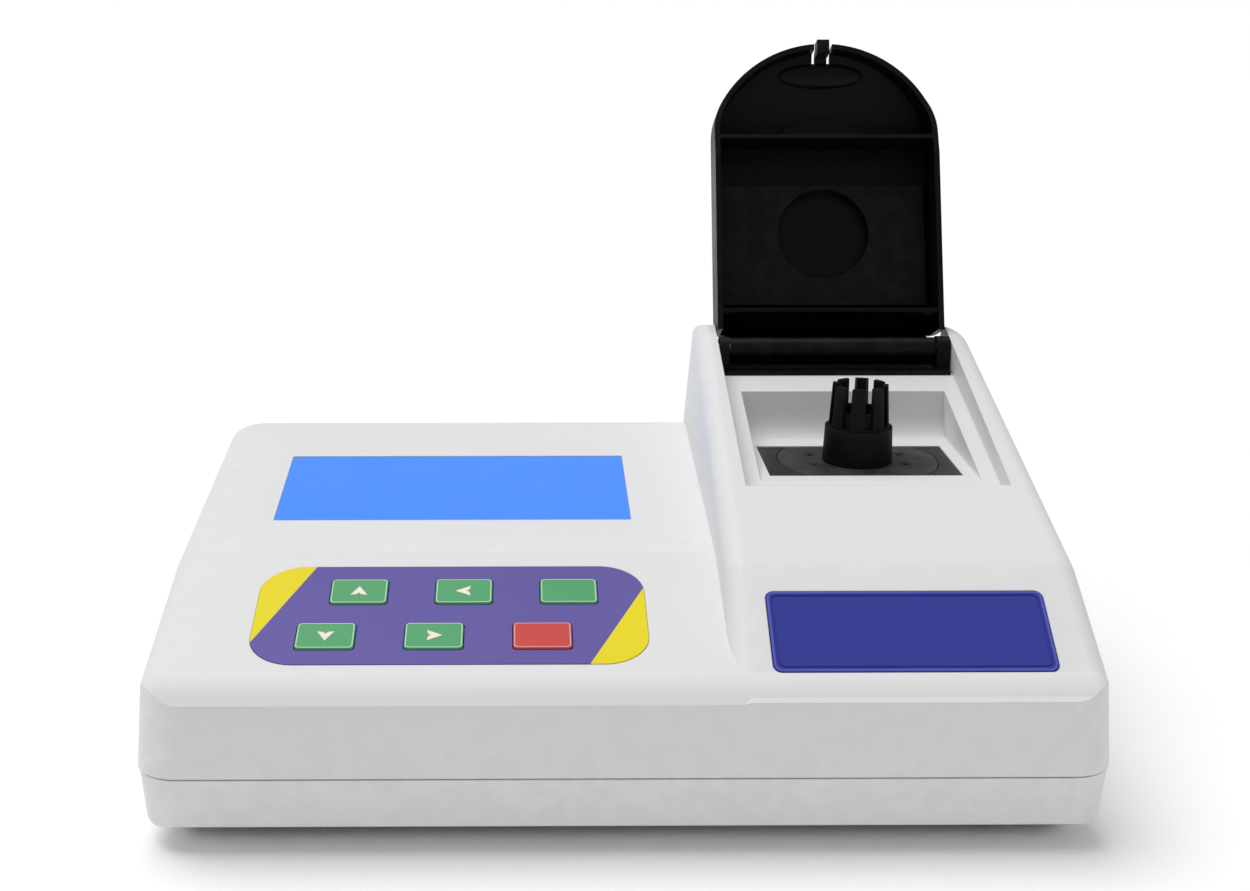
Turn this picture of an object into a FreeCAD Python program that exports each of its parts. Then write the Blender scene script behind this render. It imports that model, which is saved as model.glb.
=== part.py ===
import FreeCAD, Part
import math
import os

os.makedirs("parts", exist_ok=True)

V = FreeCAD.Vector

# Benchtop filter photometer with a hinged sample lid. All sizes are millimetres.
# Body frame while building: x = 0 at mid width, y = 0 at the front face where the two
# shells meet, z = 0 under the lower shell. The finished model is then moved so that its
# origin is the centre of its bounding box on the table, under the feet.

# Casing
WIDTH = 310.0
DEPTH = 220.0
PARTING_Z = 21.4
PARTING_GAP = 0.6
BASE_Z = -2.0
DRAFT = 4.0
WALL = 3.0
CORNER_RADIUS = 14.0
EDGE_RADIUS = 6.5
KEEL_SIZE = (12.0, 6.4)
LOWER_STEP = 0.4
LIP_HEIGHT = 2.4
FOOT_HEIGHT = 3.0
FOOT_RADIUS = 7.0
FOOT_SOCKET = 1.0
FOOT_X = 118.0
FOOT_Y = (26.0, 190.0)

# Left deck: a steep keypad plane, then a flatter display plane
NOSE_START = (1.9, 45.7)
NOSE_SLOPE = 45.0
NOSE_BLEND = 16.0
DECK_FRONT = (1.6, 49.9)
DECK_BREAK = (77.6, 68.7)
DISPLAY_SLOPE = 5.1
DECK_BLEND = 45.0

# Raised sample housing on the right
HUMP_LEFT = 34.8
HUMP_FRONT = (1.6, 46.1)
HUMP_RIDGE = (48.7, 75.8)
HUMP_SLOPE = 16.5
HUMP_BLEND = 14.0

# Display
WINDOW_SIZE = (129.2, 63.9)
WINDOW_CENTRE = (-57.4, 140.3)
WINDOW_THICK = 1.5

# Keypad
PAD_SIZE = (128.7, 55.8)
PAD_CENTRE = (-55.85, 43.1)
PAD_RADIUS = 15.0
PAD_THICK = 1.2
KEY_SIZE = (19.0, 14.0)
KEY_RADIUS = 1.5
KEY_PITCH = 35.05
KEY_PROUD = 0.6
KEY_TRAVEL = 0.7
KEY_GAP = 0.3
TOP_ROW = (-31.0, 12.2)
BOTTOM_ROW = (-40.1, -13.2)

# Front label
LABEL_SIZE = (90.3, 31.9)
LABEL_CENTRE = (91.85, 25.0)
LABEL_RADIUS = 3.0
LABEL_THICK = 0.9

# Sample compartment
POCKET_X = (46.6, 140.0)
POCKET_FRONT = (93.0, 81.6)
POCKET_BACK = (186.0, 106.2)
WELL_X = (54.0, 133.8)
WELL_FRONT = 109.0
WELL_BACK = 173.0
WELL_FLOOR = 85.8
HATCH_X = (58.1, 128.7)
HATCH_Y = (115.2, 154.9)
SOCKET_X = 93.8
SOCKET_Y = 137.5
DISC_RADIUS = 29.7
SLEEVE_RADII = (13.0, 12.45)
SLEEVE_TOP = 98.8
SLEEVE_BORE = 11.27
ADAPTER_RADII = (11.2, 10.25)
ADAPTER_TOP = 114.7
ADAPTER_BOTTOM = 72.0
TUBE_RADIUS = 8.2
SLIT_WIDTH = 3.0
SLIT_COUNT = 8
SLIT_TURN = 9.4
SLIT_DEPTH = 9.6
GROOVE_FLOOR = 9.4

# Lid, described in its own frame: x across, y from the hinge axis to the tip,
# z out of the open rim (so the lid's outer face is at negative z)
HINGE_Y = 196.0
HINGE_Z = 115.5
LID_X = 92.75
LID_LEAN = 22.0
LID_HALF_WIDTH = 45.7
LID_STRAIGHT = 90.0
LID_LENGTH = 127.6
LID_DEPTH = 22.5
LID_WALL = 2.2
LID_SIDE_ARC = 26.0
LID_RIM_TAPER = (80.0, 104.0)
LID_RIM_STEP = 4.8
DOME_CENTRE = 74.5
DOME_RADII = (27.0, 25.0)
GRIP_CENTRE = (116.6, -13.9)
GRIP_HALVES = (17.4, 5.2, 2.0)
GRIP_TILT = 15.0
RIB_NEAR = 15.4
RIB_FAR = 87.5
PIN_RADIUS = 1.5
BARREL_RADIUS = 4.0
RUNNING_GAP = 0.05

# Optics and electronics inside
BEAM_Z = 45.0
WHEEL_RADIUS = 22.0
WHEEL_PITCH = 16.0
WHEEL_Y = 84.0
FILTER_COUNT = 6
BLOCK_X = (74.0, 113.6)
BLOCK_Y = (117.0, 158.0)
BLOCK_Z = (12.0, 80.8)
FLOOR_Z = BASE_Z + WALL
BOARD_Z = 11.0
BOARD_THICK = 1.6
BOARD_X = (-130.0, 25.0)
BOARD_Y = (35.0, 130.0)

# Rear connector bay
BAY_X = (-128.0, -8.0)
BAY_Z = (27.0, 63.0)
BAY_RIM = 4.5
PANEL_Y = 205.0
PANEL_THICK = 1.8
CONNECTOR_Z = 45.0
INLET_X = -103.0
SWITCH_X = -68.0
FUSE_X = -52.0
SERIAL_X = -28.0
ROCKER_TILT = 8.0


def tan(degrees):
    return math.tan(math.radians(degrees))


def cos(degrees):
    return math.cos(math.radians(degrees))


def box(x_range, y_range, z_range):
    size = [pair[1] - pair[0] for pair in (x_range, y_range, z_range)]
    return Part.makeBox(size[0], size[1], size[2], V(x_range[0], y_range[0], z_range[0]))


def centred_box(width, length, z_range, x=0.0, y=0.0):
    return box((x - width / 2, x + width / 2), (y - length / 2, y + length / 2), z_range)


def post(radius, z_range, x, y):
    return Part.makeCylinder(radius, z_range[1] - z_range[0], V(x, y, z_range[0]))


def rod_y(radius, y_range, x, z):
    return Part.makeCylinder(radius, y_range[1] - y_range[0], V(x, y_range[0], z), V(0, 1, 0))


def rod_x(radius, x_range, y, z):
    return Part.makeCylinder(radius, x_range[1] - x_range[0], V(x_range[0], y, z), V(1, 0, 0))


def cone(radius_low, radius_high, z_range, x, y):
    return Part.makeCone(radius_low, radius_high, z_range[1] - z_range[0], V(x, y, z_range[0]))


def rounded_wire(corners):
    """Closed wire through corners [(point, radius), ...], each corner rounded by its radius."""
    edges = []
    starts = []
    ends = []
    count = len(corners)
    for i, (point, radius) in enumerate(corners):
        before = (corners[i - 1][0] - point).normalize()
        after = (corners[(i + 1) % count][0] - point).normalize()
        if radius == 0:
            starts.append(point)
            ends.append(point)
            edges.append(None)
            continue
        half = before.getAngle(after) / 2
        reach = radius / math.tan(half)
        start = point + before * reach
        end = point + after * reach
        bisector = (before + after).normalize()
        middle = point + bisector * (radius / math.sin(half) - radius)
        starts.append(start)
        ends.append(end)
        edges.append(Part.Arc(start, middle, end).toShape())
    outline = []
    for i in range(count):
        if edges[i] is not None:
            outline.append(edges[i])
        following = starts[(i + 1) % count]
        if (following - ends[i]).Length > 1e-6:
            outline.append(Part.LineSegment(ends[i], following).toShape())
    return Part.Wire(outline)


def side_prism(profile, x_range):
    """Extrude a side profile [(y, z, radius), ...] across x."""
    wire = rounded_wire([(V(x_range[0], y, z), radius) for y, z, radius in profile])
    return Part.Face(wire).extrude(V(x_range[1] - x_range[0], 0, 0))


def rectangle_wire(x_range, y_range, z, radius):
    corners = [(x_range[0], y_range[0]), (x_range[1], y_range[0]),
               (x_range[1], y_range[1]), (x_range[0], y_range[1])]
    return rounded_wire([(V(x, y, z), radius) for x, y in corners])


def slab(width, length, z_range, radius, x=0.0, y=0.0):
    """Flat rounded rectangle centred on x, y."""
    wire = rectangle_wire((x - width / 2, x + width / 2), (y - length / 2, y + length / 2),
                          z_range[0], radius)
    return Part.Face(wire).extrude(V(0, 0, z_range[1] - z_range[0]))


def tilted(shape, origin, angle):
    """Copy of a shape built flat at the origin, tipped about x and moved into place."""
    copy = shape.copy()
    copy.rotate(V(0, 0, 0), V(1, 0, 0), angle)
    copy.translate(origin)
    return copy


def frustum(low, high, radius):
    """Drafted block between two rectangles (x_range, y_range, z), its upright edges rounded."""
    (low_x, low_y, low_z), (high_x, high_y, high_z) = low, high
    ends = [(low_y[0], low_z, 0), (high_y[0], high_z, 0), (high_y[1], high_z, 0), (low_y[1], low_z, 0)]
    across = side_prism(ends, (-WIDTH, WIDTH))
    corners = [(low_x[0], low_z), (high_x[0], high_z), (high_x[1], high_z), (low_x[1], low_z)]
    along = Part.Face(rounded_wire([(V(x, -WIDTH, z), 0) for x, z in corners]))
    block = across.common(along.extrude(V(0, 3 * WIDTH, 0)))
    upright = [edge for edge in block.Edges if edge.BoundBox.ZLength > 0.9 * (high_z - low_z)]
    return block.makeFillet(radius, upright)


def joined(shapes):
    return shapes[0].fuse(shapes[1:]).removeSplitter()


def group(shapes):
    return Part.makeCompound(shapes)


def rim_edges(solid, low_z):
    """Edges above low_z where an upward-facing surface meets a side wall."""
    chosen = []
    for edge in solid.Edges:
        middle = edge.valueAt((edge.FirstParameter + edge.LastParameter) / 2)
        if middle.z < low_z:
            continue
        rises = []
        for face in solid.ancestorsOfType(edge, Part.Face):
            rises.append(face.normalAt(*face.Surface.parameter(middle)).z)
        if len(rises) == 2 and min(rises) < 0.25 and max(rises) > 0.4:
            chosen.append(edge)
    return chosen


# ---------------------------------------------------------------- planes on the casing

DECK_TILT = math.degrees(math.atan2(DECK_BREAK[1] - DECK_FRONT[1], DECK_BREAK[0] - DECK_FRONT[0]))
LABEL_TILT = math.degrees(math.atan2(HUMP_RIDGE[1] - HUMP_FRONT[1], HUMP_RIDGE[0] - HUMP_FRONT[0]))


def deck_z(y):
    if y < DECK_BREAK[0]:
        return DECK_BREAK[1] + (y - DECK_BREAK[0]) * tan(DECK_TILT)
    return DECK_BREAK[1] + (y - DECK_BREAK[0]) * tan(DISPLAY_SLOPE)


def hump_z(y):
    return HUMP_RIDGE[1] + (y - HUMP_RIDGE[0]) * tan(HUMP_SLOPE)


def hump_left(z):
    return HUMP_LEFT + (z - DECK_BREAK[1]) * tan(DRAFT)


def label_z(y):
    return HUMP_FRONT[1] + (y - HUMP_FRONT[0]) * tan(LABEL_TILT)


def nose_z(y):
    return NOSE_START[1] + (y - NOSE_START[0]) * tan(NOSE_SLOPE)


PAD_ORIGIN = V(PAD_CENTRE[0], PAD_CENTRE[1], deck_z(PAD_CENTRE[1]))
WINDOW_ORIGIN = V(WINDOW_CENTRE[0], WINDOW_CENTRE[1], deck_z(WINDOW_CENTRE[1]))
LABEL_ORIGIN = V(LABEL_CENTRE[0], LABEL_CENTRE[1], label_z(LABEL_CENTRE[1]))
KEYS = {
    "key_up": (TOP_ROW[0], TOP_ROW[1]),
    "key_left": (TOP_ROW[0] + KEY_PITCH, TOP_ROW[1]),
    "key_enter": (TOP_ROW[0] + 2 * KEY_PITCH, TOP_ROW[1]),
    "key_down": (BOTTOM_ROW[0], BOTTOM_ROW[1]),
    "key_right": (BOTTOM_ROW[0] + KEY_PITCH, BOTTOM_ROW[1]),
    "key_stop": (BOTTOM_ROW[0] + 2 * KEY_PITCH, BOTTOM_ROW[1]),
}


def on_pad(shape):
    return tilted(shape, PAD_ORIGIN, DECK_TILT)


def on_display(shape):
    return tilted(shape, WINDOW_ORIGIN, DISPLAY_SLOPE)


def on_label(shape):
    return tilted(shape, LABEL_ORIGIN, LABEL_TILT)


def on_lid(shape):
    return tilted(shape, V(LID_X, HINGE_Y, HINGE_Z), 90.0 - LID_LEAN)


# ---------------------------------------------------------------- casing

TOP_Z = 140.0
FRONT_REACH = 12.0
SCREW_PLACES = [(x, y) for x in (-138.0, 138.0) for y in (21.0, 194.0)]


def envelope(inset, reach=0.0):
    """Drafted outline block of the upper shell; inset moves every wall in, reach moves the front out."""
    rectangles = []
    for z in (PARTING_Z, TOP_Z):
        lean = inset + (z - PARTING_Z) * tan(DRAFT)
        rectangles.append(((lean - WIDTH / 2, WIDTH / 2 - lean), (lean - reach, DEPTH - lean), z))
    return frustum(rectangles[0], rectangles[1], CORNER_RADIUS - inset)


def rolled(prism, inset):
    """Prism trimmed to the casing's outline, side and back edges rolled over, front edge left crisp."""
    block = prism.common(envelope(inset, FRONT_REACH))
    block = block.makeFillet(EDGE_RADIUS - inset, rim_edges(block, PARTING_Z + 5.0))
    return block.common(envelope(inset))


def deck_block(inset):
    front = -FRONT_REACH - 5.0
    back = DEPTH + 10.0
    drop = inset / cos(DECK_TILT)
    back_drop = inset / cos(DISPLAY_SLOPE)
    nose_drop = inset / cos(NOSE_SLOPE)
    nose_y = (deck_z(0.0) - drop - nose_z(0.0) + nose_drop) / (tan(NOSE_SLOPE) - tan(DECK_TILT))
    profile = [(front, PARTING_Z, 0), (front, nose_z(front) - nose_drop, 0),
               (nose_y, nose_z(nose_y) - nose_drop, NOSE_BLEND - inset),
               (DECK_BREAK[0], DECK_BREAK[1] - back_drop, DECK_BLEND),
               (back, deck_z(back) - back_drop, 0), (back, PARTING_Z, 0)]
    return rolled(side_prism(profile, (-WIDTH / 2 - 5.0, WIDTH / 2 + 5.0)), inset)


def hump_block(inset):
    front = -FRONT_REACH - 5.0
    back = DEPTH + 10.0
    drop = inset / cos(LABEL_TILT)
    back_drop = inset / cos(HUMP_SLOPE)
    profile = [(front, PARTING_Z, 0), (front, label_z(front) - drop, 0),
               (HUMP_RIDGE[0], HUMP_RIDGE[1] - back_drop, HUMP_BLEND),
               (back, hump_z(back) - back_drop, 0), (back, PARTING_Z, 0)]
    prism = side_prism(profile, (0.0, WIDTH / 2 + 5.0))
    left_corners = []
    for x, z in ((hump_left(PARTING_Z) + inset, PARTING_Z), (hump_left(TOP_Z) + inset, TOP_Z),
                 (WIDTH, TOP_Z), (WIDTH, PARTING_Z)):
        left_corners.append((V(x, -20.0, z), 0))
    left_cut = Part.Face(rounded_wire(left_corners)).extrude(V(0, DEPTH + 40.0, 0))
    return rolled(prism.common(left_cut), inset)


def upper_block(inset):
    return deck_block(inset).fuse(hump_block(inset))


def pocket_prism(grow):
    profile = [(POCKET_FRONT[0] - grow, TOP_Z, 0), (POCKET_FRONT[0] - grow, POCKET_FRONT[1] - grow, 0),
               (POCKET_BACK[0] + 0.1, POCKET_BACK[1] - grow, 0), (DEPTH + 10.0, POCKET_BACK[1] - grow, 0),
               (DEPTH + 10.0, TOP_Z, 0)]
    return side_prism(profile, (POCKET_X[0] - grow, POCKET_X[1] + grow))


def well_prism(grow):
    profile = [(WELL_FRONT - grow, TOP_Z, 0), (WELL_FRONT - grow, WELL_FLOOR - grow, 0),
               (WELL_BACK + grow, WELL_FLOOR - grow, 8.0), (WELL_BACK + grow + 1.5, TOP_Z, 0)]
    return side_prism(profile, (WELL_X[0] - grow, WELL_X[1] + grow))


def bay_ring():
    across = (BAY_X[0] - BAY_RIM, BAY_X[1] + BAY_RIM)
    return box(across, (PANEL_Y, DEPTH), (BAY_Z[0] - BAY_RIM, BAY_Z[1] + BAY_RIM))


def bay_screw_places():
    inset = BAY_RIM / 2
    columns = (BAY_X[0] - inset, BAY_X[1] + inset)
    rows = (BAY_Z[0] - inset, BAY_Z[1] + inset)
    return [(x, z) for x in columns for z in rows]


def display_posts(radius, z_range):
    places = [(x, y) for x in (-70.5, 70.5) for y in (-31.0, 31.0)]
    return [post(radius, z_range, x, y) for x, y in places]


def upper_shell():
    base_z = PARTING_Z + PARTING_GAP / 2
    outer = upper_block(0.0)
    inner = upper_block(WALL)
    linings = [pocket_prism(WALL), well_prism(WALL), bay_ring()]
    bosses = [post(4.5, (base_z, TOP_Z), x, y) for x, y in SCREW_PLACES]
    extras = [outer.common(piece) for piece in linings + bosses]
    extras += [outer.common(on_display(piece)) for piece in display_posts(3.5, (-10.4, -1.0))]
    shell = outer.cut(inner).fuse(extras)
    pad_hole = slab(PAD_SIZE[0] + 0.3, PAD_SIZE[1] + 0.3, (-PAD_THICK, 20.0), PAD_RADIUS)
    window_hole = slab(WINDOW_SIZE[0] + 0.3, WINDOW_SIZE[1] + 0.3, (-WINDOW_THICK - 0.3, 20.0), 0.6)
    window_sight = slab(WINDOW_SIZE[0] - 4.0, WINDOW_SIZE[1] - 4.0, (-8.0, 20.0), 0.6)
    label_hole = slab(LABEL_SIZE[0] + 0.4, LABEL_SIZE[1] + 0.4, (-LABEL_THICK - 0.1, 20.0), LABEL_RADIUS)
    cuts = [pocket_prism(0.0), well_prism(0.0)]
    cuts.append(box(HATCH_X, HATCH_Y, (WELL_FLOOR - 10.0, WELL_FLOOR + 1.0)))
    cuts.append(box(BAY_X, (PANEL_Y - 1.0, DEPTH + 1.0), BAY_Z))
    cuts.append(on_pad(pad_hole))
    cuts.append(on_display(window_hole))
    cuts.append(on_display(window_sight))
    cuts.append(on_label(label_hole))
    key_hole = (KEY_SIZE[0] + 2 * KEY_GAP, KEY_SIZE[1] + 2 * KEY_GAP)
    for x, y in KEYS.values():
        cuts.append(on_pad(slab(key_hole[0], key_hole[1], (-12.0, 5.0), KEY_RADIUS, x, y)))
    cuts += [post(1.55, (base_z - 1.0, base_z + 13.0), x, y) for x, y in SCREW_PLACES]
    cuts += [rod_y(1.3, (PANEL_Y - 1.0, PANEL_Y + 7.0), x, z) for x, z in bay_screw_places()]
    cuts += [on_display(piece) for piece in display_posts(1.05, (-11.0, -4.5))]
    cuts.append(box((-WIDTH, WIDTH), (-10.0, DEPTH + 10.0), (PARTING_Z - 5.0, base_z)))
    return shell.cut(cuts).removeSplitter()


def lower_shell():
    top_z = PARTING_Z - PARTING_GAP / 2

    def tray(inset, z_low, z_high):
        rectangles = []
        for z in (z_low, z_high):
            lean = inset + LOWER_STEP + (PARTING_Z - z) * tan(DRAFT)
            rectangles.append(((lean - WIDTH / 2, WIDTH / 2 - lean), (lean, DEPTH - lean), z))
        return frustum(rectangles[0], rectangles[1], CORNER_RADIUS - inset)

    def keel(lift):
        """Shallow wedge-sided block that bevels the bottom edges."""
        rectangles = []
        for z in (BASE_Z, BASE_Z + 4 * KEEL_SIZE[1]):
            lean = LOWER_STEP + (PARTING_Z - BASE_Z) * tan(DRAFT)
            lean += KEEL_SIZE[0] * (1.0 - (z - BASE_Z) / KEEL_SIZE[1])
            rectangles.append(((lean - WIDTH / 2, WIDTH / 2 - lean), (lean, DEPTH - lean), z + lift))
        return frustum(rectangles[0], rectangles[1], CORNER_RADIUS)

    outer = tray(0.0, BASE_Z, top_z).common(keel(0.0))
    shell = outer.cut(tray(WALL, FLOOR_Z, top_z + 5.0).common(keel(WALL)))
    lip = tray(WALL, top_z - 2.0, top_z + LIP_HEIGHT).cut(tray(WALL + 1.2, top_z - 3.0, top_z + 5.0))
    lip = lip.common(box((-WIDTH, WIDTH), (3.7, DEPTH - 3.9), (0.0, top_z + LIP_HEIGHT)))
    lip = lip.cut(box((BAY_X[0] - 6.0, BAY_X[1] + 6.0), (DEPTH - 20.0, DEPTH), (top_z - 0.5, 40.0)))
    solids = [shell, lip]
    solids += [post(5.5, (BASE_Z + 2.8, top_z - 0.3), x, y) for x, y in SCREW_PLACES]
    shell = joined(solids)
    below = BASE_Z - 1.0
    cuts = [post(4.0, (below, 9.0), x, y) for x, y in SCREW_PLACES]
    cuts += [post(1.9, (below, top_z + 1.0), x, y) for x, y in SCREW_PLACES]
    cuts += [post(FOOT_RADIUS + 0.2, (below, BASE_Z + FOOT_SOCKET), x, y) for x, y in foot_places()]
    return shell.cut(cuts)


def foot_places():
    return [(x, y) for x in (-FOOT_X, FOOT_X) for y in FOOT_Y]


def rubber_feet():
    feet = []
    for x, y in foot_places():
        foot = post(FOOT_RADIUS, (BASE_Z - FOOT_HEIGHT, BASE_Z + FOOT_SOCKET), x, y)
        sole = [edge for edge in foot.Edges if edge.BoundBox.ZMax < BASE_Z - FOOT_HEIGHT + 0.01]
        feet.append(foot.makeChamfer(0.8, sole))
    return group(feet)


def pan_screw(head_radius, head_height, shank_radius, length):
    """Screw along +z with its head's bearing face at z = 0 and the head below it."""
    head = Part.makeCylinder(head_radius, head_height, V(0, 0, -head_height))
    reach = head_radius * 0.6
    recess = box((-reach, reach), (-0.4, 0.4), (-head_height - 1, -head_height * 0.45))
    cross = recess.copy()
    cross.rotate(V(0, 0, 0), V(0, 0, 1), 90)
    return head.fuse(Part.makeCylinder(shank_radius, length)).cut([recess, cross])


def placed_screw(screw, point, axis):
    copy = screw.copy()
    copy.Placement = FreeCAD.Placement(point, FreeCAD.Rotation(V(0, 0, 1), axis))
    return copy


def case_screws():
    screw = pan_screw(3.3, 2.2, 1.5, 25.0)
    return group([placed_screw(screw, V(x, y, 9.0), V(0, 0, 1)) for x, y in SCREW_PLACES])


# ---------------------------------------------------------------- display

def display_window():
    return on_display(slab(WINDOW_SIZE[0], WINDOW_SIZE[1], (-WINDOW_THICK - 0.3, -0.3), 0.5))


def display_bezel():
    frame = slab(133.0, 66.0, (-9.6, -3.6), 1.0).cut(slab(124.0, 58.5, (-9.7, -3.5), 0.5))
    return on_display(frame)


def display_glass():
    return on_display(slab(123.6, 58.1, (-9.6, -5.2), 0.4))


def display_board():
    board = slab(147.0, 70.0, (-12.0, -10.4), 1.0)
    return on_display(board.cut(display_posts(1.3, (-13.0, -9.0))))


def display_screws():
    screw = pan_screw(2.2, 1.6, 1.0, 6.5)
    places = [(x, y) for x in (-70.5, 70.5) for y in (-31.0, 31.0)]
    return group([on_display(placed_screw(screw, V(x, y, -12.0), V(0, 0, 1))) for x, y in places])


# ---------------------------------------------------------------- keypad

def keypad_overlay():
    sheet = slab(PAD_SIZE[0], PAD_SIZE[1], (-PAD_THICK, 0.25), PAD_RADIUS)
    hole = (KEY_SIZE[0] + 2 * KEY_GAP, KEY_SIZE[1] + 2 * KEY_GAP)
    holes = [slab(hole[0], hole[1], (-2.0, 1.0), KEY_RADIUS, x, y) for x, y in KEYS.values()]
    return on_pad(sheet.cut(holes))


def key(x, y):
    """Key cap with a flange under the casing that keeps it in its hole."""
    cap = slab(KEY_SIZE[0], KEY_SIZE[1], (-4.5, KEY_PROUD + 0.25), KEY_RADIUS, x, y)
    top = [edge for edge in cap.Edges if edge.BoundBox.ZMin > KEY_PROUD]
    cap = cap.makeChamfer(0.4, top)
    flange = slab(KEY_SIZE[0] + 3.0, KEY_SIZE[1] + 3.0, (-4.5, -3.5), KEY_RADIUS, x, y)
    return on_pad(cap.fuse(flange).removeSplitter())


def key_domes():
    domes = [cone(4.0, 2.5, (-6.5, -4.7 - KEY_TRAVEL), x, y) for x, y in KEYS.values()]
    return group([on_pad(dome) for dome in domes])


def keypad_board():
    return on_pad(slab(PAD_SIZE[0] - 8.0, PAD_SIZE[1] - 8.0, (-8.1, -6.5), 8.0))


# ---------------------------------------------------------------- front label

def front_label():
    plate = slab(LABEL_SIZE[0], LABEL_SIZE[1], (-LABEL_THICK, 0.1), LABEL_RADIUS)
    line_out = slab(LABEL_SIZE[0] - 3.2, LABEL_SIZE[1] - 3.2, (-0.15, 1.0), LABEL_RADIUS - 1.0)
    line_in = slab(LABEL_SIZE[0] - 4.6, LABEL_SIZE[1] - 4.6, (-0.2, 1.0), LABEL_RADIUS - 1.5)
    return on_label(plate.cut(line_out.cut(line_in)))


# ---------------------------------------------------------------- sample compartment

def chamber_plate():
    sheet = box((HATCH_X[0] - 2.5, HATCH_X[1] + 2.5), (HATCH_Y[0] - 3.0, HATCH_Y[1] + 5.0),
                (BLOCK_Z[1], WELL_FLOOR - WALL - 0.2))
    land = box((HATCH_X[0] + 0.2, HATCH_X[1] - 0.2), (HATCH_Y[0] + 0.2, HATCH_Y[1] - 0.2),
               (BLOCK_Z[1], WELL_FLOOR - 0.4))
    seat = post(DISC_RADIUS + 0.3, (WELL_FLOOR - 2.6, WELL_FLOOR), SOCKET_X, SOCKET_Y)
    return sheet.fuse(land).cut([seat, post(12.6, (70.0, 90.0), SOCKET_X, SOCKET_Y)]).removeSplitter()


def disc_screw_places():
    return [(SOCKET_X + x, SOCKET_Y + y) for x in (-17.0, 17.0) for y in (-6.5, 6.5)]


def holder_disc():
    disc = post(DISC_RADIUS, (WELL_FLOOR - 2.6, WELL_FLOOR - 0.4), SOCKET_X, SOCKET_Y)
    disc = disc.common(box(HATCH_X, (HATCH_Y[0] + 0.3, HATCH_Y[1] - 0.3), (0.0, 100.0)))
    holes = [post(1.1, (70.0, 90.0), x, y) for x, y in disc_screw_places()]
    holes += [post(2.2, (WELL_FLOOR - 1.4, 90.0), x, y) for x, y in disc_screw_places()]
    return disc.cut(holes + [post(12.5, (70.0, 90.0), SOCKET_X, SOCKET_Y)])


def disc_screws():
    screw = pan_screw(2.0, 0.9, 1.0, 1.1)
    top = WELL_FLOOR - 1.4
    return group([placed_screw(screw, V(x, y, top), V(0, 0, -1)) for x, y in disc_screw_places()])


def holder_sleeve():
    seat_z = WELL_FLOOR - 0.4
    shape = cone(SLEEVE_RADII[0], SLEEVE_RADII[1], (seat_z, SLEEVE_TOP), SOCKET_X, SOCKET_Y)
    shape = shape.fuse(post(12.4, (ADAPTER_BOTTOM + 1.0, seat_z), SOCKET_X, SOCKET_Y))
    return shape.cut(post(SLEEVE_BORE, (60.0, 110.0), SOCKET_X, SOCKET_Y)).removeSplitter()


def tube_adapter():
    """Lift-out centring insert: a plain sleeve below, a crown of spring fingers above."""
    base = post(ADAPTER_RADII[0], (ADAPTER_BOTTOM, SLEEVE_TOP), SOCKET_X, SOCKET_Y)
    crown = cone(ADAPTER_RADII[0], ADAPTER_RADII[1], (SLEEVE_TOP, ADAPTER_TOP), SOCKET_X, SOCKET_Y)
    body = base.fuse(crown).cut(post(TUBE_RADIUS, (60.0, 130.0), SOCKET_X, SOCKET_Y))
    half = SLIT_WIDTH / 2
    slit = box((-half, half), (-20.0, 0.0), (ADAPTER_TOP - SLIT_DEPTH, ADAPTER_TOP + 1.0))
    slit = slit.fuse(box((-half, half), (-20.0, -GROOVE_FLOOR), (SLEEVE_TOP + 0.8, ADAPTER_TOP + 1.0)))
    slits = []
    for i in range(SLIT_COUNT):
        turned = slit.copy()
        turned.rotate(V(0, 0, 0), V(0, 0, 1), SLIT_TURN + i * 360.0 / SLIT_COUNT)
        turned.translate(V(SOCKET_X, SOCKET_Y, 0))
        slits.append(turned)
    return body.cut(slits)


# ---------------------------------------------------------------- lid

def lid_outline(inset, start, z):
    """Plan outline of the lid: straight sides closed by one crown arc and two side arcs."""
    half = LID_HALF_WIDTH - inset
    rise = LID_LENGTH - LID_STRAIGHT - inset
    side = LID_SIDE_ARC - inset
    reach = half - side
    crown = (reach ** 2 + rise ** 2 - side ** 2) / (2 * (rise - side))
    crown_y = LID_STRAIGHT + rise - crown
    turn = math.atan2(reach, LID_STRAIGHT - crown_y)
    join = V(crown * math.sin(turn), crown_y + crown * math.cos(turn), z)
    half_turn = (math.pi / 2 - turn) / 2
    side_mid = V(reach + side * math.cos(half_turn), LID_STRAIGHT + side * math.sin(half_turn), z)

    def flip(point):
        return V(-point.x, point.y, point.z)

    shoulder = V(half, LID_STRAIGHT, z)
    foot = V(half, start, z)
    apex = V(0, crown_y + crown, z)
    return Part.Wire([
        Part.LineSegment(flip(foot), foot).toShape(), Part.LineSegment(foot, shoulder).toShape(),
        Part.Arc(shoulder, side_mid, join).toShape(), Part.Arc(join, apex, flip(join)).toShape(),
        Part.Arc(flip(join), flip(side_mid), flip(shoulder)).toShape(),
        Part.LineSegment(flip(shoulder), flip(foot)).toShape()])


def lid_block(inset, floor):
    """Solid lid form. The back slopes to the hinge and the front falls away to the tip."""
    depth = LID_DEPTH - inset
    plan = Part.Face(lid_outline(inset, -4.0 + inset, -LID_DEPTH - 5.0))
    plan = plan.extrude(V(0, 0, LID_DEPTH + 5.0 + floor))
    profile = [(-4.0 + inset, floor, 0), (-4.0 + inset, -4.0, 0), (9.0 + inset, -depth, 12.0),
               (92.0, -depth, 40.0), (LID_LENGTH + 4.0, -12.5 + inset, 0), (LID_LENGTH + 4.0, floor, 0)]
    return plan.common(side_prism(profile, (-60.0, 60.0)))


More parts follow.
